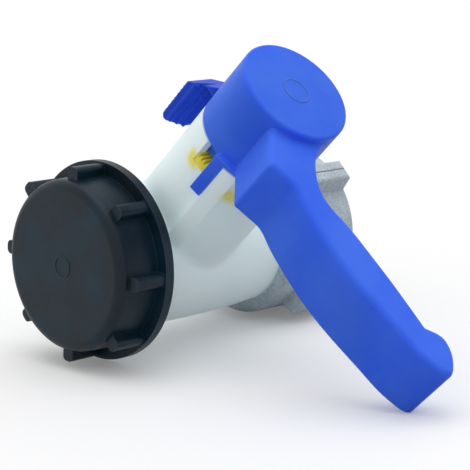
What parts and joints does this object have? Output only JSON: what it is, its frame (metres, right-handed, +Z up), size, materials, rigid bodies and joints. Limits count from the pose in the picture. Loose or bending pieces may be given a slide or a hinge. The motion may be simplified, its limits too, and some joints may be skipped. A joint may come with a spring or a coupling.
{
  "type": "ibc butterfly valve",
  "caption": "Plastic butterfly valve for a bulk liquid tank, with a lugged union nut, a lever handle with a sprung lock tab, and a screw cap on its coarse-thread outlet.",
  "frame": {"origin": "on the flow axis, at the sealing face towards the tank, inside the union nut's thread", "axes": "+Y along the flow axis towards the tank, +Z up along the stem, +X along the closed handle"},
  "size_m": [0.1653, 0.134, 0.1439],
  "materials": {
    "housing_plastic": "natural translucent polyethylene, satin",
    "bush_plastic": "natural nylon",
    "ring_plastic": "yellow moulded plastic",
    "split_ring_plastic": "natural nylon",
    "gasket_rubber": "black flat gasket",
    "seal_rubber": "black seal",
    "disc_plastic": "natural moulded plastic",
    "stem_plastic": "glass filled nylon",
    "handle_plastic": "blue moulded plastic, satin",
    "lever_plastic": "blue moulded plastic, satin",
    "pin_steel": "drawn pin",
    "spring_steel": "spring wire",
    "cap_plastic": "black moulded plastic, fine grain",
    "nut_plastic": "grey moulded plastic, grainy"
  },
  "bodies": {
    "housing": {"housing": "housing_plastic", "gland_bush": "bush_plastic", "retaining_ring": "ring_plastic", "nut_split_ring": "split_ring_plastic", "inlet_gasket": "gasket_rubber"},
    "handle": {"handle": "handle_plastic", "stem": "stem_plastic", "disc": "disc_plastic", "disc_seal": "seal_rubber", "stem_seal_upper": "seal_rubber", "stem_seal_lower": "seal_rubber", "lock_pin": "pin_steel", "lock_spring": "spring_steel"},
    "lock": {"lock_lever": "lever_plastic"},
    "cap_carrier": {"cap_gasket": "gasket_rubber"},
    "cap": {"cap": "cap_plastic"},
    "nut": {"union_nut": "nut_plastic"}
  },
  "joints": [
    {"name": "handle_turn", "type": "hinge", "parent": "housing", "child": "handle", "pos_m": [0, -0.06, 0], "axis": [0, 0, 1], "range_deg": [-90, 0]},
    {"name": "lock_release", "type": "hinge", "parent": "handle", "child": "lock", "pos_m": [-0.0168, -0.06, 0.077], "axis": [0, 1, 0], "range_deg": [0, 12], "stiffness_Nm_per_rad": 0.25, "springref_deg": -17.19},
    {"name": "cap_slide", "type": "slide", "parent": "housing", "child": "cap_carrier", "axis": [0, -1, 0], "range_m": [0, 0.012]},
    {"name": "cap_turn", "type": "hinge", "parent": "cap_carrier", "child": "cap", "pos_m": [0, -0.1, 0], "axis": [0, -1, 0], "range_deg": [0, 720]},
    {"name": "nut_spin", "type": "hinge", "parent": "housing", "child": "nut", "pos_m": [0, 0, 0], "axis": [0, 1, 0], "continuous": true}
  ],
  "couplings": [
    {"joint": "cap_slide", "follows": "cap_turn", "m_per_rad": 0.00095493}
  ]
}
